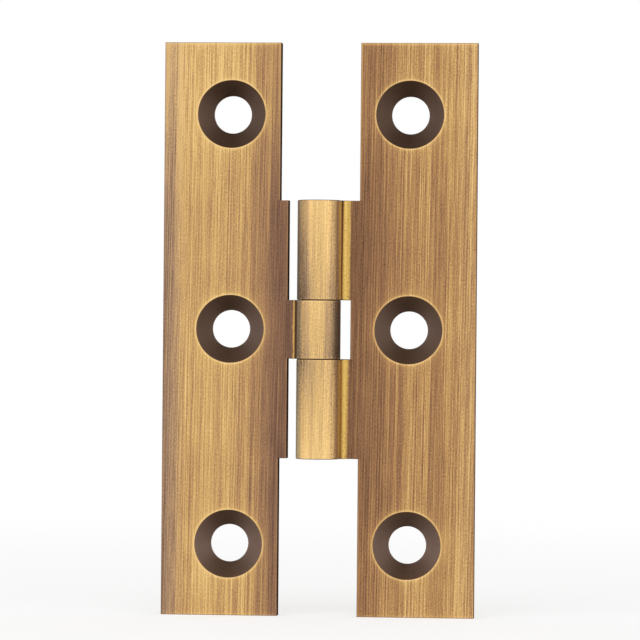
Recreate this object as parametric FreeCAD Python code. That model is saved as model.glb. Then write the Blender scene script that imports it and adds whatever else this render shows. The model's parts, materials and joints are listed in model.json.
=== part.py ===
import FreeCAD, Part
import math
import os
from FreeCAD import Vector

# H hinge in solid drawn brass, opened out flat. The pin lies along Z, with the middle of the barrel
# at the origin. X runs across the two leaves, and their countersunk faces look towards -Y.
# All lengths are in millimetres.

# Leaves
leaf_height = 64.0              # along the pin
hinge_width = 35.0              # across both leaves
leaf_thickness = 2.0
fold_gap = 0.9                  # left between the two faces when the hinge is folded shut
arm_step = 0.95                 # the long arms stand this far back from the edges beside the barrel

# Barrel
barrel_length = 28.8
middle_knuckle_length = 6.55
knuckle_gap = 0.02              # end play between neighbouring knuckles
root_fillet = 1.0               # hollow where a knuckle rises out of its leaf
root_land = 0.1                 # flat left between that hollow and the edge of a slot

# Pin
pin_diameter = 2.5
pin_recess = 0.2                # each end of the pin lies this deep in the barrel
pin_end_chamfer = 0.3
pin_clearance = 0.05            # radial play in the swinging leaf's knuckle

# Screw holes
screws_per_leaf = 3
screw_end_margin = 8.0          # outer holes to the ends of the leaf
screw_hole_diameter = 4.2
countersink_diameter = 7.6
countersink_angle = 90.0        # degrees, between opposite sides of the cone

# Edges and cutters
edge_round = 0.10               # edges softened by the brushing
cutter_overrun = 1.0            # cutters pass this far beyond what they cut
seam_angle = 1.0                # degrees; faces that meet at less than this run on smoothly
probe_step = 0.01               # how near to an edge its inside is felt for

# Worked out from the sizes above
leaf_front = fold_gap / 2       # the faces stand this far behind the pin's axis
leaf_back = leaf_front + leaf_thickness
knuckle_radius = leaf_back      # the knuckles lie flush with the backs of the leaves
leaf_side = hinge_width / 2
half_leaf = leaf_height / 2
half_barrel = barrel_length / 2
half_middle = middle_knuckle_length / 2
root_depth = leaf_front - root_fillet
root_reach = math.sqrt((knuckle_radius + root_fillet) ** 2 - root_depth ** 2)
slot_edge = root_reach + root_land
arm_edge = slot_edge + arm_step
screw_row = (knuckle_radius + leaf_side) / 2
screw_pitch = (leaf_height - 2 * screw_end_margin) / (screws_per_leaf - 1)


def drawn_section():
    """Section across the pin: a flat leaf and, through a hollow root, the round of its knuckle."""
    root_centre = Vector(root_reach, root_depth, 0)
    towards_leaf = Vector(0, 1, 0)
    towards_knuckle = (root_centre * -1).normalize()
    half_way = (towards_leaf + towards_knuckle).normalize()
    root_on_leaf = root_centre + towards_leaf * root_fillet
    root_on_knuckle = root_centre + towards_knuckle * root_fillet
    root_middle = root_centre + half_way * root_fillet
    knuckle_side = Vector(-knuckle_radius, 0, 0)
    knuckle_back = Vector(0, knuckle_radius, 0)
    back_corner = Vector(leaf_side, leaf_back, 0)
    front_corner = Vector(leaf_side, leaf_front, 0)
    outline = [
        Part.LineSegment(knuckle_back, back_corner),
        Part.LineSegment(back_corner, front_corner),
        Part.LineSegment(front_corner, root_on_leaf),
        Part.Arc(root_on_leaf, root_middle, root_on_knuckle),
        Part.Arc(root_on_knuckle, knuckle_side, knuckle_back),
    ]
    return Part.Face(Part.Wire([line.toShape() for line in outline]))


def side_cutter(edge, low, high):
    """Block that clears the barrel side of a leaf as far as one edge, between two heights."""
    reach = knuckle_radius + cutter_overrun
    return Part.makeBox(reach + edge, 2 * reach, high - low, Vector(-reach, -reach, low))


def sharp_outer_edges(solid):
    """Edges that stand out from a solid, without smooth seams between faces and inner corners."""
    found = []
    for edge in solid.Edges:
        middle = edge.valueAt((edge.FirstParameter + edge.LastParameter) / 2)
        normals = []
        for face in solid.ancestorsOfType(edge, Part.Face):
            normals.append(face.normalAt(*face.Surface.parameter(middle)))
        first, second = normals
        is_seam = math.degrees(first.getAngle(second)) < seam_angle
        is_inner = solid.isInside(middle + (first - second) * probe_step, probe_step / 10, False)
        if not is_seam and not is_inner:
            found.append(edge)
    return found


def runs_through_leaf(edge):
    """True for a corner edge, straight from the front of a leaf to its back."""
    return edge.Length - edge.BoundBox.YLength < probe_step


def leaf_blank(slots):
    """Leaf on the +X side before drilling: drawn bar, cut back round the barrel, edges softened."""
    bar = drawn_section().extrude(Vector(0, 0, leaf_height))
    bar.translate(Vector(0, 0, -half_leaf))
    beyond = half_leaf + cutter_overrun
    cutters = [side_cutter(arm_edge, half_barrel, beyond), side_cutter(arm_edge, -beyond, -half_barrel)]
    for low, high in slots:
        cutters.append(side_cutter(slot_edge, low, high))
    blank = bar.cut(cutters).removeSplitter().Solids[0]
    brushed = [edge for edge in sharp_outer_edges(blank) if not runs_through_leaf(edge)]
    return blank.makeFillet(edge_round, brushed).Solids[0]


def screw_hole_cutter(height):
    """Countersunk hole through the leaf at one height: plain hole at the back, cone at the front."""
    hole_radius = screw_hole_diameter / 2
    sink_radius = countersink_diameter / 2
    sink_depth = (sink_radius - hole_radius) / math.tan(math.radians(countersink_angle / 2))
    before = leaf_front - cutter_overrun
    behind = leaf_back + cutter_overrun
    profile = Part.makePolygon([
        Vector(0, before, 0),
        Vector(sink_radius, before, 0),
        Vector(sink_radius, leaf_front, 0),
        Vector(hole_radius, leaf_front + sink_depth, 0),
        Vector(hole_radius, behind, 0),
        Vector(0, behind, 0),
        Vector(0, before, 0),
    ])
    cutter = Part.Face(profile).revolve(Vector(0, 0, 0), Vector(0, 1, 0), 360)
    cutter.translate(Vector(screw_row, 0, height))
    return cutter


def leaf(slots, bore_diameter):
    """Finished leaf on the +X side: blank, pin bore and a row of countersunk holes."""
    bore = Part.makeCylinder(bore_diameter / 2, leaf_height, Vector(0, 0, -half_leaf))
    drills = [bore]
    for number in range(screws_per_leaf):
        drills.append(screw_hole_cutter(number * screw_pitch + screw_end_margin - half_leaf))
    solid = leaf_blank(slots).cut(drills).Solids[0]
    rims = []
    for edge in solid.Edges:
        box = edge.BoundBox
        if edge.isClosed() and box.YLength < probe_step and abs(box.YMin - leaf_front) < probe_step:
            rims.append(edge)
    return solid.makeFillet(edge_round, rims).Solids[0]


def hinge_pin():
    """Plain round pin, pressed into the outer knuckles, with chamfered ends."""
    length = barrel_length - 2 * pin_recess
    pin = Part.makeCylinder(pin_diameter / 2, length, Vector(0, 0, -length / 2))
    ends = [edge for edge in pin.Edges if edge.isClosed()]
    return pin.makeChamfer(pin_end_chamfer, ends).Solids[0]


middle_slot = (-half_middle - knuckle_gap, half_middle + knuckle_gap)
outer_slots = [(half_middle, half_barrel), (-half_barrel, -half_middle)]

frame_leaf = leaf([middle_slot], pin_diameter)
door_leaf = leaf(outer_slots, pin_diameter + 2 * pin_clearance)
door_leaf.rotate(Vector(0, 0, 0), Vector(0, 1, 0), 180)

os.makedirs("parts", exist_ok=True)
frame_leaf.exportStep("parts/frame_leaf.step")
door_leaf.exportStep("parts/door_leaf.step")
hinge_pin().exportStep("parts/hinge_pin.step")
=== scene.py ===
import json
import math
from types import SimpleNamespace

import bpy
import numpy as np
from mathutils import Matrix, Vector


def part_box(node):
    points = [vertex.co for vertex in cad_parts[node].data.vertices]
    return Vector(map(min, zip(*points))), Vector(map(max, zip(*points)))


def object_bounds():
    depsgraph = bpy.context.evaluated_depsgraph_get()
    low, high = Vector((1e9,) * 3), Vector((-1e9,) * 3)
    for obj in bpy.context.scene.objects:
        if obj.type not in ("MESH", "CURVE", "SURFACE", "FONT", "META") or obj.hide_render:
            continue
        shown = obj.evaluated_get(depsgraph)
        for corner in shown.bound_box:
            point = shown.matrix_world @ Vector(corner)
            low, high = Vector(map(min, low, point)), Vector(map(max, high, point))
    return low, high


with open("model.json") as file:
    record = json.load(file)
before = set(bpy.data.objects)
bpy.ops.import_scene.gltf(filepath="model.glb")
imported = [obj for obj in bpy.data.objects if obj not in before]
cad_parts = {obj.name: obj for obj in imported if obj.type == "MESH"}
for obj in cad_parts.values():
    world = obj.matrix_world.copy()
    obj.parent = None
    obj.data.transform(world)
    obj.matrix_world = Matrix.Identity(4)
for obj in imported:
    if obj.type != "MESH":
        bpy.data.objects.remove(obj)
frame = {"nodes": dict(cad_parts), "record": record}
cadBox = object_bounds()
mounts = {mount["name"]: mount for mount in frame["record"]["mounts"]}
print("frame loaded:", ", ".join(sorted(frame["nodes"])))

mm = 0.001  # scene units are metres, the finishes below are worked out in millimetres


# A value on its way through a material: sums and products of fields become Math nodes,
# so that formulas read as written
class Field:
    def __init__(self, tree, socket):
        self.tree = tree
        self.socket = socket

    def math(self, operation, *others):
        return addNode(self.tree, "ShaderNodeMath", dict(enumerate((self, *others))), operation=operation)

    def __add__(self, other):
        return self.math("ADD", other)

    def __sub__(self, other):
        return self.math("SUBTRACT", other)

    def __mul__(self, other):
        return self.math("MULTIPLY", other)

    def __truediv__(self, other):
        return self.math("DIVIDE", other)

    def __pow__(self, other):
        return self.math("POWER", other)

    def __neg__(self):
        return self * -1.0

    def size(self):
        return self.math("ABSOLUTE")

    def rest(self):  # what is left of 1
        return self * -1.0 + 1.0

    def rise(self, low, high):  # smooth step from 0 at low to 1 at high, or falling if low is above high
        steps = {"Value": self, "From Min": low, "From Max": high}
        return addNode(self.tree, "ShaderNodeMapRange", steps, interpolation_type="SMOOTHSTEP")

    def hump(self, middle, width):  # bell of height 1
        return (((self - middle) / width) ** 2.0 * -1.0).math("EXPONENT")

    def fade(self, start, reach):  # 1 at start, falling off by e for every reach beyond it
        return ((self - start).math("MAXIMUM", 0.0) * (-1.0 / reach)).math("EXPONENT")

    def towards(self, other, share):  # this field where share is 0, the other where it is 1
        return addNode(self.tree, "ShaderNodeMix", {0: share, 2: self, 3: other})

    def larger(self, other):
        return self.math("MAXIMUM", other)

    def upToOne(self):
        return self.math("MINIMUM", 1.0)


def addNode(tree, kind, inputs, output=0, **settings):
    node = tree.nodes.new(kind)
    for name, value in settings.items():
        setattr(node, name, value)
    for key, value in inputs.items():
        if isinstance(value, Field):
            tree.links.new(value.socket, node.inputs[key])
        else:
            node.inputs[key].default_value = value
    return Field(tree, node.outputs[output])


def splitVector(vector):
    node = vector.tree.nodes.new("ShaderNodeSeparateXYZ")
    vector.tree.links.new(vector.socket, node.inputs[0])
    return [Field(vector.tree, socket) for socket in node.outputs]


def colourStops(value, stops):  # piecewise blend through (position, colour) pairs
    ramp = addNode(value.tree, "ShaderNodeValToRGB", {0: value})
    elements = ramp.socket.node.color_ramp.elements
    elements.remove(elements[1])
    elements[0].position = stops[0][0]
    elements[0].color = (*stops[0][1], 1.0)
    for position, colour in stops[1:]:
        elements.new(position).color = (*colour, 1.0)
    return ramp


def toneStops(angle, stops):  # the same for plain numbers over degrees from -180 to 180
    grey = [((degrees + 180.0) / 360.0, (tone, tone, tone)) for degrees, tone in stops]
    return colourStops((angle + 180.0) / 360.0, grey)


def mixColours(share, first, second):
    return addNode(share.tree, "ShaderNodeMix", {0: share, 6: first, 7: second}, 2, data_type="RGBA")


def grain(across, along, width, length, seed, detail=2.0):
    # fractal noise on a plane squeezed to width across and stretched to length along, from about -1 to 1
    place = addNode(across.tree, "ShaderNodeCombineXYZ", {0: across / width + seed, 1: along / length - seed})
    sockets = {"Vector": place, "Scale": 1.0, "Detail": detail, "Roughness": 0.55}
    return addNode(across.tree, "ShaderNodeTexNoise", sockets, noise_dimensions="2D") * 2.0 - 1.0


def mottle(place, size, seed, detail=3.0):
    # even noise in space, blotches of the given size in millimetres, from about -1 to 1
    offset = addNode(place.tree, "ShaderNodeVectorMath", {0: place, 1: (seed, seed, -seed)}, operation="ADD")
    sockets = {"Vector": offset, "Scale": 1.0 / (size * mm), "Detail": detail, "Roughness": 0.6}
    return addNode(place.tree, "ShaderNodeTexNoise", sockets) * 2.0 - 1.0


def blend(marks, weights):  # sum of named marks, each by its weight
    parts = [marks[name] * weight for name, weight in weights.items()]
    total = parts[0]
    for part in parts[1:]:
        total = total + part
    return total


def startMaterial(name):
    material = bpy.data.materials.new(name)
    material.use_nodes = True
    tree = material.node_tree
    tree.nodes.clear()
    shader = tree.nodes.new("ShaderNodeBsdfPrincipled")
    output = tree.nodes.new("ShaderNodeOutputMaterial")
    tree.links.new(shader.outputs[0], output.inputs["Surface"])
    shader.inputs["Metallic"].default_value = 1.0
    return material, tree, shader


def feedShader(shader, colour, roughness, relief):
    # relief is in millimetres, out of the surface
    tree = colour.tree
    bumped = addNode(tree, "ShaderNodeBump", {"Height": relief, "Distance": mm, "Strength": 1.0})
    for name, field in (("Base Color", colour), ("Roughness", roughness), ("Normal", bumped)):
        tree.links.new(field.socket, shader.inputs[name])


def millimetres(name):
    return [value / mm for value in mounts[name]["pos_m"]]


# Main forms of the hinge in millimetres, where they meet the finishes
hinge = {
    "screwRow": millimetres("frame_leaf_screw_middle")[0],
    "screwPitch": millimetres("frame_leaf_screw_top")[2] - millimetres("frame_leaf_screw_middle")[2],
    "holeRadius": mounts["frame_leaf_screw_middle"]["dims"]["r_mm"],
    "sinkRadius": 3.80,            # countersink, at the face
    "knuckleRadius": millimetres("frame_leaf_back")[1],
    "rootReach": 3.41,             # the hollow root runs out into the face here
    "slotEdge": 3.51,              # inner edge of a leaf beside the other leaf's knuckles
    "armEdge": 4.46,               # inner edge of its arms, above and below the barrel
    "barrelEnd": 14.4,
    "splitHeight": 3.28,           # where the knuckles meet
    "leafSide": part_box("frame_leaf")[1].x / mm,
    "leafEnd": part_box("frame_leaf")[1].z / mm,
}


brightness = {"red": 0.2126, "green": 0.7152, "blue": 0.0722}  # how bright each looks


def brassShades(recipe):
    # colours for tones, each from its lightness and from its red and its blue as shares of its green,
    # so that a tone of 0.4 is a brass that reflects two fifths of the light
    stops = []
    for lightness, red, blue in recipe:
        green = lightness / (brightness["red"] * red + brightness["green"] + brightness["blue"] * blue)
        stops.append((lightness, (red * green, green, blue * green)))
    return stops


# Shades of brass that both leaves share: lightness, then red and blue as shares of the green
shades = {
    "knuckle": [(0.01, 1.60, 0.60), (0.10, 1.62, 0.60), (0.22, 1.52, 0.60), (0.34, 1.55, 0.50),
                (0.46, 1.55, 0.43), (0.56, 1.53, 0.40), (0.70, 1.45, 0.44)],
    "limb": [(0.05, 1.40, 0.68), (0.40, 1.32, 0.65), (0.70, 1.20, 0.58)],  # sides, which mirror other brass
    "root": [(0.01, 1.90, 0.40), (0.15, 1.85, 0.36), (0.30, 1.68, 0.29), (0.45, 1.55, 0.27),
             (0.60, 1.48, 0.30)],
    "sink": [(0.02, 1.88, 0.54), (0.05, 1.80, 0.60), (0.10, 1.60, 0.71), (0.16, 1.50, 0.77),
             (0.30, 1.45, 0.78)],
    "grey": [(0.10, 1.68, 0.70), (0.30, 1.60, 0.60), (0.50, 1.55, 0.46)],
    "dark": [(0.01, 1.75, 0.62), (0.06, 1.66, 0.72), (0.15, 1.72, 0.60), (0.30, 1.70, 0.47),
             (0.50, 1.58, 0.40)],
}

frameLeafFinish = {
    "seed": 11.0,
    # shades of its face
    "face": [(0.03, 1.93, 0.60), (0.12, 1.98, 0.54), (0.20, 1.94, 0.49), (0.30, 1.80, 0.41),
             (0.40, 1.68, 0.385), (0.50, 1.58, 0.38), (0.65, 1.48, 0.44)],
    "sideGrey": 0.2,               # share of the grey shades in the outermost strip
    "innerTone": 0.119,            # beside the barrel
    "outerTone": 0.324,            # at the outer edge
    "innerReach": (2.0, 14.0),     # where one gives way to the other
    "topLift": 0.045,              # lighter towards the top end
    "bottomLift": 0.05,            # and towards the bottom end
    "sideLift": 0.055,             # lighter in the outermost strip, all the way down
    "sideDrop": 0.03,              # darker there in the lower half
    "contrast": 1.66,              # strength of the brush lines
    "softDark": 0.24,              # share taken from the dark ones
    # streaks: distance from the pin, width, change of tone
    "bands": [(13.3, 0.75, -0.115), (11.5, 0.9, 0.02), (15.0, 0.6, -0.01), (10.2, 0.7, 0.03),
              (8.5, 0.7, -0.015)],
    "slotRise": (0.02, -0.02),     # its slot lies nearer the middle than where the knuckles meet
    # tones round the knuckles, by degrees from the front: patina, with painted highlights and painted shade
    # laid by angle
    "upperKnuckle": [(-180, 0.20), (-85, 0.24), (-63, 0.29), (-53, 0.40), (-42, 0.28), (-31, 0.28),
                     (-17, 0.50), (-8, 0.55), (24, 0.53), (31, 0.48), (37, 0.37), (60, 0.41),
                     (67, 0.61), (78, 0.74)],
    "lowerKnuckle": [(-180, 0.20), (-85, 0.30), (-67, 0.43), (-58, 0.66), (-48, 0.61), (-40, 0.48),
                     (-24, 0.43), (-8, 0.49), (24, 0.55), (42, 0.43), (64, 0.50), (78, 0.78)],
    "liftFrom": 9.0,               # knuckles get lighter from this height towards the ends
    "lift": 0.028,                 # by this share for each millimetre
    "leftLift": 0.045,             # and by this one too on the left
    "knuckleTilt": 0.0,            # lighter by this share for each millimetre up
    # the bright band in its root is bare brass with a painted highlight, wider on this leaf than on the other
    # because of how the light falls
    "rootBand": (2.46, 2.56, 3.10, 3.62),  # glow of its root: from, full, until and out, from the pin
    "rootLean": 0.011,             # this much further out for each millimetre up
    "rootBrassAndSheen": 1.0,
}
doorLeafFinish = {
    "seed": 4.0,
    "face": [(0.03, 1.85, 0.74), (0.12, 1.87, 0.66), (0.20, 1.85, 0.55), (0.30, 1.77, 0.45),
             (0.40, 1.67, 0.40), (0.50, 1.57, 0.37), (0.65, 1.47, 0.42)],
    "sideGrey": 0.9,
    "innerTone": 0.12,
    "outerTone": 0.386,
    "innerReach": (3.6, 9.8),
    "topLift": 0.105,
    "bottomLift": 0.03,
    "sideLift": 0.0,
    "sideDrop": 0.15,
    "contrast": 1.32,
    "softDark": 0.10,
    "bands": [(11.6, 0.9, 0.015), (13.4, 0.5, -0.01)],
    "slotRise": (-0.02, 0.02),     # its slots lie further out
    # tones round its knuckle, by degrees from the front: patina, with painted highlights and painted shade
    # laid by angle
    "upperKnuckle": [(-85, 0.22), (-60, 0.40), (-43, 0.46), (-35, 0.36), (-24, 0.39), (-14, 0.52),
                     (12, 0.54), (25, 0.32), (36, 0.30), (54, 0.14), (80, 0.19), (180, 0.20)],
    "liftFrom": 0.0,
    "lift": 0.0,
    "leftLift": 0.0,
    "knuckleTilt": 0.03,
    "rootBand": (2.66, 2.74, 2.84, 2.96),
    "rootLean": 0.0,
    "rootBrassAndSheen": 0.95,
}


def leafPlace(tree):
    # where a point of a leaf lies, in millimetres and degrees, and which way its surface looks
    coordinates = tree.nodes.new("ShaderNodeTexCoord")
    at = SimpleNamespace(place=Field(tree, coordinates.outputs["Object"]))
    at.x, at.y, at.z = [axis * (1.0 / mm) for axis in splitVector(at.place)]
    at.backward, at.upward = splitVector(Field(tree, coordinates.outputs["Normal"]))[1:]
    at.endward = at.upward.size()
    at.across = at.x.size()
    at.height = at.z.size()                                     # above or below the middle
    at.reach = (at.x * at.x + at.y * at.y) ** 0.5               # distance from the pin's axis
    at.angle = at.x.math("ARCTAN2", -at.y) * (180.0 / math.pi)  # round the knuckle, 0 at its front
    toHole = at.z.math("WRAP", 0.5 * hinge["screwPitch"], -0.5 * hinge["screwPitch"])
    at.holeRadius = ((at.across - hinge["screwRow"]) ** 2.0 + toHole ** 2.0) ** 0.5
    return at


# Bounds of the surfaces, each from none to full: shares of the normal, then millimetres and degrees
surfaceBounds = {
    "flat": (0.90, 0.985),         # how squarely a face looks forward or back
    "rounded": (-0.25, -0.55),     # how far round a front edge is
    "rootTurn": (0.1, -0.05),      # how far a root looks forward
    "endFace": (0.30, 0.75),       # how squarely an end of the barrel looks up or down
    "tip": (0.60, 0.95),           # the same for the ends of a leaf
    "rimIn": (0.15, 0.35),         # and for the rounded rim of the barrel's ends
    "rimOut": (0.85, 0.60),
    "rimReach": (2.0, 2.2),        # distance from the pin's axis
    "barrel": (0.05, 0.01),        # past the knuckles' radius
    "root": (0.07, 0.05),          # past the root's reach
    "sink": (0.03, -0.05),         # past the countersinks' radius
    "sinkRim": (0.45, 0.35),       # the same for their rims
    "leafEnd": (-0.3, -0.2),       # past the leaf's end
    "armStep": (-0.05, 0.05),      # past the barrel's end
    "leftSide": (-42.0, -56.0),    # sides of the knuckles
    "leftBack": (-130.0, -90.0),
    "rightSide": (46.0, 62.0),
    "rightBack": (130.0, 90.0),
}


def past(field, place, name):  # rise within the named bounds, counted from a place
    low, high = surfaceBounds[name]
    return field.rise(place + low, place + high)


def leafSurfaces(at):
    # share of each kind of surface at a point, from 0 to 1
    on = SimpleNamespace()
    squarely, full = surfaceBounds["flat"]
    on.front = at.backward.rise(-squarely, -full)
    on.back = at.backward.rise(squarely, full)
    on.barrel = past(at.reach, hinge["knuckleRadius"], "barrel")
    endFace = at.endward.rise(*surfaceBounds["endFace"])
    on.barrelEnd = on.barrel * endFace
    on.knuckle = on.barrel * endFace.rest() * on.back.rest()
    rootSide = past(at.across, hinge["rootReach"], "root") * at.backward.rise(*surfaceBounds["rootTurn"])
    on.root = on.barrel.rest() * rootSide * endFace.rest()
    on.sink = past(at.holeRadius, hinge["sinkRadius"], "sink") * on.back.rest()
    rounded = at.backward.rise(-full, -squarely) * at.backward.rise(*surfaceBounds["rounded"])
    on.frontEdge = rounded * on.sink.rest() * on.barrel.rest()
    on.leafTip = at.endward.rise(*surfaceBounds["tip"]) * past(at.height, hinge["leafEnd"], "leafEnd")
    rim = at.endward.rise(*surfaceBounds["rimIn"]) * at.endward.rise(*surfaceBounds["rimOut"])
    on.barrelRim = rim * at.reach.rise(*surfaceBounds["rimReach"]) * on.barrel
    on.turnedLeft = at.angle.rise(*surfaceBounds["leftSide"]) * at.angle.rise(*surfaceBounds["leftBack"])
    on.turnedRight = at.angle.rise(*surfaceBounds["rightSide"]) * at.angle.rise(*surfaceBounds["rightBack"])
    on.brushed = (on.front + on.frontEdge + on.root).upToOne()
    return on


brushLook = {
    "lean": 0.0145,                # the lines lean by this much for each millimetre up
    # lines along the pin: width and length in millimetres, step of the seed, detail
    "lines": {
        "fine": (0.15, 46.0, 0.0, 2.0),
        "short": (0.15, 4.0, 12.7, 2.0),
        "grit": (0.13, 0.24, 5.9, 2.0),
        "chatter": (0.20, 0.15, 9.4, 1.0),
        "medium": (0.75, 60.0, 3.1, 2.0),
        "broad": (2.4, 90.0, 7.7, 1.0),
        "scratch": (0.15, 26.0, 15.3, 1.0),
    },
    "brightScratch": (0.16, 0.58),  # only the strongest scratches shine
    # blotches: size in millimetres, share of the seed, detail
    "blotches": {
        "cloud": (5.0, 0.01, 3.0),
        "speckle": (0.35, 0.02, 2.0),
        "pits": (0.20, 0.03, 1.0),
    },
    "pitDepth": (0.15, 0.40),      # only the deepest pits show
    "face": {"fine": 0.52, "short": 0.32, "medium": 0.17, "broad": 0.14, "cloud": 0.05, "grit": 0.38,
             "brightScratch": 0.42},
    "faceShift": -0.028,           # keeps the mean where it is
}


def brushMarks(look, at, on):
    # brush lines that run along the pin and go round the knuckles, grit, scratches and blotches
    seed = look["seed"]
    roundBarrel = at.angle * (hinge["knuckleRadius"] * math.pi / 180.0)
    girth = at.x.towards(roundBarrel, on.barrel) - at.z * brushLook["lean"]
    marks = {}
    for name, (width, length, step, detail) in brushLook["lines"].items():
        marks[name] = grain(girth, at.z, width, length, seed + step, detail)
    for name, (size, share, detail) in brushLook["blotches"].items():
        marks[name] = mottle(at.place, size, seed * share, detail)
    marks["pits"] = marks["pits"].rise(*brushLook["pitDepth"])
    marks["brightScratch"] = marks["scratch"].rise(*brushLook["brightScratch"])
    lines = blend(marks, brushLook["face"]) + brushLook["faceShift"]
    marks["lines"] = lines - lines.math("MINIMUM", 0.0) * look["softDark"]
    return marks


wearLook = {
    "start": 0.08,                 # distance from an edge
    "innerReach": 0.10,            # how far the bright line runs out from there
    "endReach": 0.14,
    "tone": 0.13,                  # added to the face
    "topTone": 0.16,               # and this much more at the top end
}


def wornEdges(look, at):
    # bright lines along the ends, and along the inner edges of the arms and the slots
    onArm = past(at.height, hinge["barrelEnd"], "armStep")
    innerEdge = onArm * (hinge["armEdge"] - hinge["slotEdge"]) + hinge["slotEdge"]
    inSlot = (at.height - hinge["splitHeight"]).rise(*look["slotRise"])
    inner = (at.across - innerEdge).fade(wearLook["start"], wearLook["innerReach"]) * inSlot.larger(onArm)
    end = (at.height * -1.0 + hinge["leafEnd"]).fade(wearLook["start"], wearLook["endReach"])
    return inner.larger(end), end


faceLook = {
    "topFrom": 0.35,               # shares of the half height where the ends begin to change
    "bottomFrom": -0.55,
    "strip": 2.2,                  # width of the outermost strip
    "rimGap": 0.1,                 # bright line round a countersink: place, reach and tone
    "rimReach": 0.08,
    "rimTone": 0.22,
    "haloReach": 0.6,              # and the softer glow round it
    "haloTone": 0.06,
    "greyStrip": (14.6, 16.8),     # where the grey shades of the outermost strip set in
}


def faceTone(look, at, marks, worn):
    # lightness of the brushed face: dark by the barrel, golden further out, lighter at the ends,
    # bright round each countersink and along worn edges, and drawn out into lines by the brush
    outward = at.across.rise(*look["innerReach"])
    tone = outward * (look["outerTone"] - look["innerTone"]) + look["innerTone"]
    for middle, width, change in look["bands"]:
        tone = tone + at.across.hump(middle, width) * change
    topEnd = at.z.rise(faceLook["topFrom"] * hinge["leafEnd"], hinge["leafEnd"])
    bottomEnd = at.z.rise(faceLook["bottomFrom"] * hinge["leafEnd"], -hinge["leafEnd"])
    strip = at.across.rise(hinge["leafSide"] - faceLook["strip"], hinge["leafSide"])
    tone = tone + topEnd * look["topLift"] + bottomEnd * strip.rest() * look["bottomLift"]
    tone = tone + strip * look["sideLift"] - strip * topEnd.rest() * look["sideDrop"]
    tone = tone * (marks["lines"] * look["contrast"] + 1.0)
    fromRim = at.holeRadius - hinge["sinkRadius"]
    rim = fromRim.fade(faceLook["rimGap"], faceLook["rimReach"]) * faceLook["rimTone"]
    halo = fromRim.fade(0.0, faceLook["haloReach"]) * faceLook["haloTone"]
    return tone + rim + halo + worn * (topEnd * wearLook["topTone"] + wearLook["tone"])


dullLook = {
    # lines: width and length in millimetres, step of the seed
    "sawn": (0.35, 9.0, 25.0),
    "drawn": (0.5, 60.0, 21.0),
    "filed": (0.12, 1.5, 27.0),
    "walls": {"cloud": 0.018, "speckle": 0.016, "sawn": 0.014},
    # painted shade: the walls by the barrel and in the slots, beside the other leaf's knuckles, stay darker
    # than the outer ones, over the dark patina
    "wallTone": 0.036,             # of the side walls by the barrel
    "outerWall": 0.055,            # added to the outer ones
    "outerReach": (5.0, 12.0),
    "back": {"drawn": 0.055, "fine": 0.05, "cloud": 0.08, "speckle": 0.05},
    "backTone": 0.20,
    "backHole": (0.25, 0.06),      # worn round the holes: reach and tone
    "backEnd": 0.07,               # and at the ends
    "tip": {"filed": 0.05, "cloud": 0.03, "speckle": 0.02},
    "tipTone": 0.13,
    "barrelEnd": {"speckle": 0.03, "cloud": 0.03},
    "barrelEndTone": 0.10,
}


def dullTone(look, at, on, marks, wornEnd):
    # lightness of the side walls, the backs and the ends of the leaves, which keep their patina; the walls by
    # the barrel also get painted shade
    runs = {"sawn": (at.x + at.y * 2.0, at.z), "drawn": (at.x, at.z), "filed": (at.x, at.y)}
    for name, (across, along) in runs.items():
        width, length, step = dullLook[name]
        marks[name] = grain(across, along, width, length, look["seed"] + step)
    walls = blend(marks, dullLook["walls"]) + at.across.rise(*dullLook["outerReach"]) * dullLook["outerWall"]
    holeReach, holeTone = dullLook["backHole"]
    backWear = at.holeRadius.fade(hinge["holeRadius"], holeReach) * holeTone + wornEnd * dullLook["backEnd"]
    back = blend(marks, dullLook["back"]) + backWear + dullLook["backTone"]
    tip = blend(marks, dullLook["tip"]) + dullLook["tipTone"]
    return (walls + dullLook["wallTone"]).towards(back, on.back).towards(tip, on.leafTip)


edgeLook = {
    "lines": {"medium": 0.06, "fine": 0.05},
    "tone": 0.16,
    "rimTone": 0.38,               # added round the countersinks
}


def edgeTone(at, marks):
    # lightness of the rounded front edges, bright round the countersinks
    atRim = past(at.holeRadius, hinge["sinkRadius"], "sinkRim")
    return blend(marks, edgeLook["lines"]) + atRim * edgeLook["rimTone"] + edgeLook["tone"]


sinkLook = {
    "lines": {"turning": 0.018, "cloud": 0.018},
    "turning": (0.09, 31.0),       # rings left by the countersink: width, step of the seed
    "tone": 0.050,
    # painted highlight: the cones are lighter on the left and right, where they would catch the side
    # softboxes, and a little more on the right
    "paintedSideSheen": 0.095,             # lighter on the left and right than above and below
    "paintedRightSheen": 0.016,            # and on the right than on the left
    "upward": (1.03, -0.009),      # darker upwards: share at the middle, its change for each millimetre
}


def sinkTone(look, at, marks):
    # lightness inside the countersinks: dark, with turned rings and a painted highlight on their left and
    # right sides
    width, step = sinkLook["turning"]
    marks["turning"] = grain(at.holeRadius, at.z * 0.0, width, 1.0, look["seed"] + step)
    rightward = (at.x - at.x.math("SIGN") * hinge["screwRow"]) / at.holeRadius
    sides = rightward ** 2.0 * sinkLook["paintedSideSheen"] + rightward * sinkLook["paintedRightSheen"] + sinkLook["tone"]
    middle, slope = sinkLook["upward"]
    return (blend(marks, sinkLook["lines"]) + sides) * (at.z * slope + middle)


knuckleLook = {
    "lines": {"fine": 0.30, "medium": 0.12},
    "coarse": {"grit": 0.40, "chatter": 0.14, "short": 0.28},
    "coarseShare": 0.9,
    "limbShare": 1.25,             # coarser on the sides
    "limb": (25.0, 50.0),          # where the sides begin, in degrees from the front
    "limbBack": (100.0, 70.0),     # and where they end
    "left": (-2.0, -36.0),         # where the left side's extra lift sets in
    "change": (-1.5, 1.5),         # heights from the lower knuckle to the upper one
    "ragged": {"speckle": 2.0, "medium": 3.0},  # degrees by which the shading strays
    "splitReach": (0.12, 0.08),    # worn line where the knuckles meet: from, reach
    "splitTone": 0.10,
    "splitGrit": 0.16,
}


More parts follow.
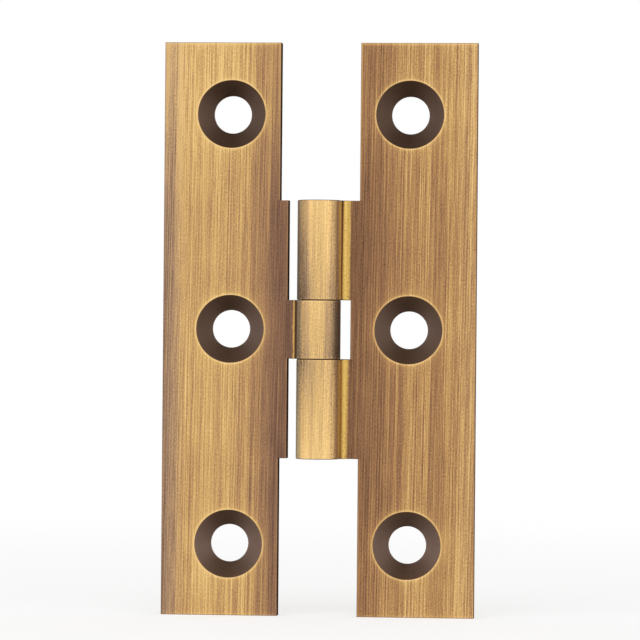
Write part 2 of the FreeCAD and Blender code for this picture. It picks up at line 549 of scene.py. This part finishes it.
def knuckleTone(look, at, marks):
    # lightness round the knuckles: stops by angle that hold patina with painted highlights and painted shade,
    # lighter towards the ends, coarser at the sides
    strayed = at.angle + blend(marks, knuckleLook["ragged"])
    tone = toneStops(strayed, look["upperKnuckle"])
    if "lowerKnuckle" in look:
        lower = toneStops(strayed, look["lowerKnuckle"])
        tone = lower.towards(tone, at.z.rise(*knuckleLook["change"]))
    slope = at.angle.rise(*knuckleLook["left"]) * look["leftLift"] + look["lift"]
    endLift = (at.height - look["liftFrom"]) * slope + at.z * look["knuckleTilt"]
    limb = at.angle.size().rise(*knuckleLook["limb"]) * at.angle.size().rise(*knuckleLook["limbBack"])
    coarseness = limb * knuckleLook["limbShare"] + knuckleLook["coarseShare"]
    brushing = blend(marks, knuckleLook["lines"]) + blend(marks, knuckleLook["coarse"]) * coarseness
    tone = tone * (brushing + endLift + 1.0)
    worn = (at.height - hinge["splitHeight"]).size().fade(*knuckleLook["splitReach"])
    return tone + worn * (marks["grit"] * knuckleLook["splitGrit"] + knuckleLook["splitTone"])


rootLook = {
    "ragged": {"speckle": 0.16, "grit": 0.05},  # millimetres by which the glow's outer edge strays
    "lines": {"chatter": 0.10, "fine": 0.08, "pits": -0.16},
    "tone": 0.46,
    "darkLines": 0.12,             # share of the face's lines outside the glow
}


def rootBrassAndSheen(look, at, marks):
    # bright band in the hollow root, bare brass with a painted highlight: a smooth inner edge and a ragged
    # outer one
    low, full, fading, out = look["rootBand"]
    fromPin = at.across - at.z * look["rootLean"]
    strayed = fromPin + blend(marks, rootLook["ragged"])
    return fromPin.rise(low, full) * strayed.rise(out, fading) * look["rootBrassAndSheen"]


def rootTone(look, marks, glow):
    # lightness of the hollow root: pitted brass in the bright band, which holds a painted highlight, dark
    # beside it
    dark = marks["lines"] * rootLook["darkLines"] + look["innerTone"]
    return dark.towards(blend(marks, rootLook["lines"]) + rootLook["tone"], glow)


# painted shade: the rounded rims of the knuckles' ends are dark where they face the end, into the thin gaps
# between knuckles, with a lighter worn line where they turn into the knuckle
rimLook = {
    "turn": (0.62, 0.40),          # lighter where it turns into the knuckle
    "lift": 0.24,
    "tone": 0.03,
    "share": 0.9,
}


def leafColour(look, at, on, tone, glow):
    # shades of brass for the tone of each surface
    def shade(stops):
        return colourStops(tone, brassShades(stops))

    colour = mixColours(on.sink, shade(shades["dark"]), shade(shades["sink"]))
    colour = mixColours(on.brushed, colour, shade(look["face"]))
    greyed = at.across.rise(*faceLook["greyStrip"]) * on.front * look["sideGrey"]
    colour = mixColours(greyed, colour, shade(shades["grey"]))
    turnedAway = on.turnedLeft + on.turnedRight
    knuckleColour = mixColours(turnedAway, shade(shades["knuckle"]), shade(shades["limb"]))
    colour = mixColours(on.knuckle, colour, knuckleColour)
    return mixColours(on.root * glow, colour, shade(shades["root"]))


polishLook = {
    "roughness": 0.46,             # of dark brass
    "brightDrop": -0.14,           # smoother where it is bright
    "bright": (0.05, 0.5),
    "fineRoughness": 0.06,
    "patinaRoughness": 0.9,
    "limbDull": -0.6,              # patina on the left sides of the knuckles
    "lines": {"fine": 0.006, "medium": 0.006, "scratch": 0.003},  # depths in millimetres
    "turningDepth": 0.004,
    "speckleDepth": 0.002,
}


def leafMaterial(name, look):
    material, tree, shader = startMaterial(name)
    at = leafPlace(tree)
    on = leafSurfaces(at)
    marks = brushMarks(look, at, on)
    worn, wornEnd = wornEdges(look, at)
    # bright band in the root: bare brass with a painted highlight
    glow = rootBrassAndSheen(look, at, marks)

    # lightness of every surface, from the dull ones up
    tone = dullTone(look, at, on, marks, wornEnd)
    tone = tone.towards(faceTone(look, at, marks, worn), on.front)
    tone = tone.towards(edgeTone(at, marks), on.frontEdge)
    tone = tone.towards(sinkTone(look, at, marks), on.sink * on.front.rest())
    tone = tone.towards(knuckleTone(look, at, marks), on.knuckle)
    tone = tone.towards(rootTone(look, marks, glow), on.root)
    tone = tone.towards(blend(marks, dullLook["barrelEnd"]) + dullLook["barrelEndTone"], on.barrelEnd)
    # painted shade in the gaps between the knuckles, on the rims of their ends
    rimTone = at.endward.rise(*rimLook["turn"]) * rimLook["lift"] + rimLook["tone"]
    tone = tone.towards(rimTone, on.barrelRim * rimLook["share"])

    # bare brass shines, and on the other walls the patina is whole
    polished = on.knuckle * (on.turnedLeft * polishLook["limbDull"] + 1.0)
    bare = (on.brushed + polished + on.back + on.sink + on.leafTip).upToOne()
    roughness = tone.rise(*polishLook["bright"]) * polishLook["brightDrop"] + polishLook["roughness"]
    roughness = roughness + marks["fine"] * polishLook["fineRoughness"]
    roughness = roughness.towards(polishLook["patinaRoughness"], bare.rest())
    relief = blend(marks, polishLook["lines"]) * (on.front + on.knuckle).upToOne()
    relief = relief + marks["turning"] * on.sink * polishLook["turningDepth"]
    relief = relief + marks["speckle"] * polishLook["speckleDepth"]
    feedShader(shader, leafColour(look, at, on, tone, glow), roughness, relief)
    tree.links.new(bare.socket, shader.inputs["Metallic"])
    shader.inputs["Specular IOR Level"].default_value = 0.0  # the patina is dull
    return material


pinFinish = {
    "tone": 0.24,
    "turningWidth": 0.12,          # rings left by the lathe on its ends
    "turningSeed": 2.0,
    "drawn": (0.2, 12.0, 5.0),     # lines along it: width, length and seed
    "cloud": (0.8, 0.05),          # blotches: size and seed
    "marks": {"cloud": 0.06, "rings": 0.04, "drawn": 0.03},
    "depths": {"rings": 0.003, "drawn": 0.002},
    "roughness": 0.40,
    "cloudRoughness": 0.06,
}


def pinMaterial(name, look):
    material, tree, shader = startMaterial(name)
    place = Field(tree, tree.nodes.new("ShaderNodeTexCoord").outputs["Object"])
    x, y, z = [axis * (1.0 / mm) for axis in splitVector(place)]
    reach = (x * x + y * y) ** 0.5
    marks = {
        "rings": grain(reach, z * 0.0, look["turningWidth"], 1.0, look["turningSeed"]),
        "drawn": grain(x + y, z, *look["drawn"]),
        "cloud": mottle(place, *look["cloud"]),
    }
    colour = colourStops(blend(marks, look["marks"]) + look["tone"], brassShades(shades["knuckle"]))
    roughness = marks["cloud"] * look["cloudRoughness"] + look["roughness"]
    feedShader(shader, colour, roughness, blend(marks, look["depths"]))
    return material


def dress(node, material):
    slots = frame["nodes"][node].data.materials
    slots.clear()
    slots.append(material)


dress("frame_leaf", leafMaterial("frameLeafBrass", frameLeafFinish))
dress("door_leaf", leafMaterial("doorLeafBrass", doorLeafFinish))
dress("hinge_pin", pinMaterial("pinBrass", pinFinish))
print("brass finishes laid on both leaves and the pin")

# Pale floor under the leaves' lower ends
floorLook = {
    "radius": 2.5,
    "rings": 24,
    "spokes": 96,
    "colour": (0.55, 0.55, 0.55),
    "glow": 0.62,                  # white added for the camera and for reflections; the shadow stays
    "shadowReach": (0.05, 0.22),   # further out the floor runs into the white surround
}


def floorMesh(look, height):
    # disc: a radius that grows with the square of the ring number, carried round the vertical axis,
    # with one face across the innermost ring
    ring = np.linspace(0.0, 1.0, look["rings"] + 1)[1:, None] ** 2 * look["radius"]
    turn = np.linspace(0.0, 2.0 * np.pi, look["spokes"], endpoint=False)[None, :]
    points = np.stack([ring * np.cos(turn), ring * np.sin(turn), 0.0 * ring * turn + height], -1)
    index = np.arange(look["rings"] * look["spokes"]).reshape(look["rings"], look["spokes"])
    onward = np.roll(index, -1, axis=1)
    quads = np.stack([index[:-1], index[1:], onward[1:], onward[:-1]], -1)
    mesh = bpy.data.meshes.new("paleFloor")
    mesh.from_pydata(points.reshape(-1, 3), [], quads.reshape(-1, 4).tolist() + [index[0].tolist()])
    return mesh


def seenDirectly(tree):
    # 1 for rays from the camera and for reflections and refractions, 0 for soft light
    path = tree.nodes.new("ShaderNodeLightPath").outputs
    camera = Field(tree, path["Is Camera Ray"])
    glossy = Field(tree, path["Is Glossy Ray"])
    return camera.larger(glossy).larger(Field(tree, path["Is Transmission Ray"]))


def floorMaterial(look):
    material = bpy.data.materials.new("paleFloor")
    material.use_nodes = True
    tree = material.node_tree
    tree.nodes.clear()
    place = Field(tree, tree.nodes.new("ShaderNodeTexCoord").outputs["Object"])
    x, y = splitVector(place)[:2]
    far = ((x * x + y * y) ** 0.5).rise(*look["shadowReach"])
    matt = addNode(tree, "ShaderNodeBsdfDiffuse", {"Color": (*look["colour"], 1.0)})
    shine = addNode(tree, "ShaderNodeEmission", {"Strength": seenDirectly(tree) * look["glow"]})
    near = addNode(tree, "ShaderNodeAddShader", {0: matt, 1: shine})
    white = addNode(tree, "ShaderNodeEmission", {"Strength": seenDirectly(tree)})
    both = addNode(tree, "ShaderNodeMixShader", {0: far, 1: near, 2: white})
    clear = addNode(tree, "ShaderNodeBsdfTransparent", {})
    under = Field(tree, tree.nodes.new("ShaderNodeNewGeometry").outputs["Backfacing"])
    shown = addNode(tree, "ShaderNodeMixShader", {0: under, 1: both, 2: clear})
    output = tree.nodes.new("ShaderNodeOutputMaterial")
    tree.links.new(shown.socket, output.inputs["Surface"])
    return material


floor = bpy.data.objects.new("paleFloor", floorMesh(floorLook, cadBox[0].z))
floor.data.materials.append(floorMaterial(floorLook))
bpy.context.scene.collection.objects.link(floor)
print("floor laid")

# Studio light: a tall softbox on each side, one overhead, and a white surround
studio = {
    "softboxes": [
        # name, azimuth and elevation in degrees, distance, width and height in metres, watts
        ("leftSoftbox", -52.0, 12.0, 0.6, 0.30, 0.50, 0.20),
        ("rightSoftbox", 55.0, 8.0, 0.6, 0.30, 0.50, 0.20),
        ("overheadSoftbox", -10.0, 62.0, 0.7, 0.45, 0.35, 0.6),
    ],
    "white": (1.0, 1.0, 1.0, 1.0),
    "fill": 0.5,                   # white of the surround as soft light
}


def outFrom(azimuth, elevation):
    # unit vector from the hinge; azimuth 0 is straight out in front of it, 90 to its right
    turn = math.radians(azimuth)
    tilt = math.radians(elevation)
    return Vector((math.sin(turn) * math.cos(tilt), -math.cos(turn) * math.cos(tilt), math.sin(tilt)))


for name, azimuth, elevation, distance, width, height, watts in studio["softboxes"]:
    lamp = bpy.data.lights.new(name, "AREA")
    lamp.shape = "RECTANGLE"
    lamp.size = width
    lamp.size_y = height
    lamp.energy = watts
    box = bpy.data.objects.new(name, lamp)
    box.location = outFrom(azimuth, elevation) * distance
    box.rotation_euler = outFrom(azimuth, elevation).to_track_quat("Z", "Y").to_euler()
    bpy.context.scene.collection.objects.link(box)

world = bpy.data.worlds.new("whiteSurround")
bpy.context.scene.world = world
world.use_nodes = True
world.cycles.sampling_method = "NONE"  # an even surround needs no map of its light
world.node_tree.nodes.clear()
level = seenDirectly(world.node_tree) * (1.0 - studio["fill"]) + studio["fill"]
surround = addNode(world.node_tree, "ShaderNodeBackground", {"Color": studio["white"], "Strength": level})
worldOutput = world.node_tree.nodes.new("ShaderNodeOutputWorld")
world.node_tree.links.new(surround.socket, worldOutput.inputs["Surface"])
print("studio lit")

# The photograph's view, a little from the right and turned by half a degree
photoView = {
    "azimuth": 4.30,
    "elevation": -0.03,
    "roll": 0.49,
    "distance": 0.400,
    "lens": 202.0,
    "sensor": 36.0,                # its width, in millimetres like the lens
    "clipStart": 0.01,
    "aim": (0.148, 1.067),         # millimetres to the right of the hinge's middle, and above it
}


def aimCamera(look):
    back = outFrom(look["azimuth"], look["elevation"])
    right = Vector((0.0, 0.0, 1.0)).cross(back).normalized()
    up = back.cross(right)
    turn = math.radians(look["roll"])
    turnedRight = right * math.cos(turn) + up * math.sin(turn)
    turnedUp = up * math.cos(turn) - right * math.sin(turn)
    middle = (turnedRight * look["aim"][0] + turnedUp * look["aim"][1]) * mm
    data = bpy.data.cameras.new("photoCamera")
    data.sensor_width = look["sensor"]
    data.lens = look["lens"]
    data.clip_start = look["clipStart"]
    camera = bpy.data.objects.new("photoCamera", data)
    turned = Matrix((turnedRight, turnedUp, back)).transposed().to_4x4()
    camera.matrix_world = Matrix.Translation(middle + back * look["distance"]) @ turned
    bpy.context.scene.collection.objects.link(camera)
    bpy.context.scene.camera = camera


aimCamera(photoView)
bpy.context.scene.view_settings.view_transform = "Standard"
print("camera set")
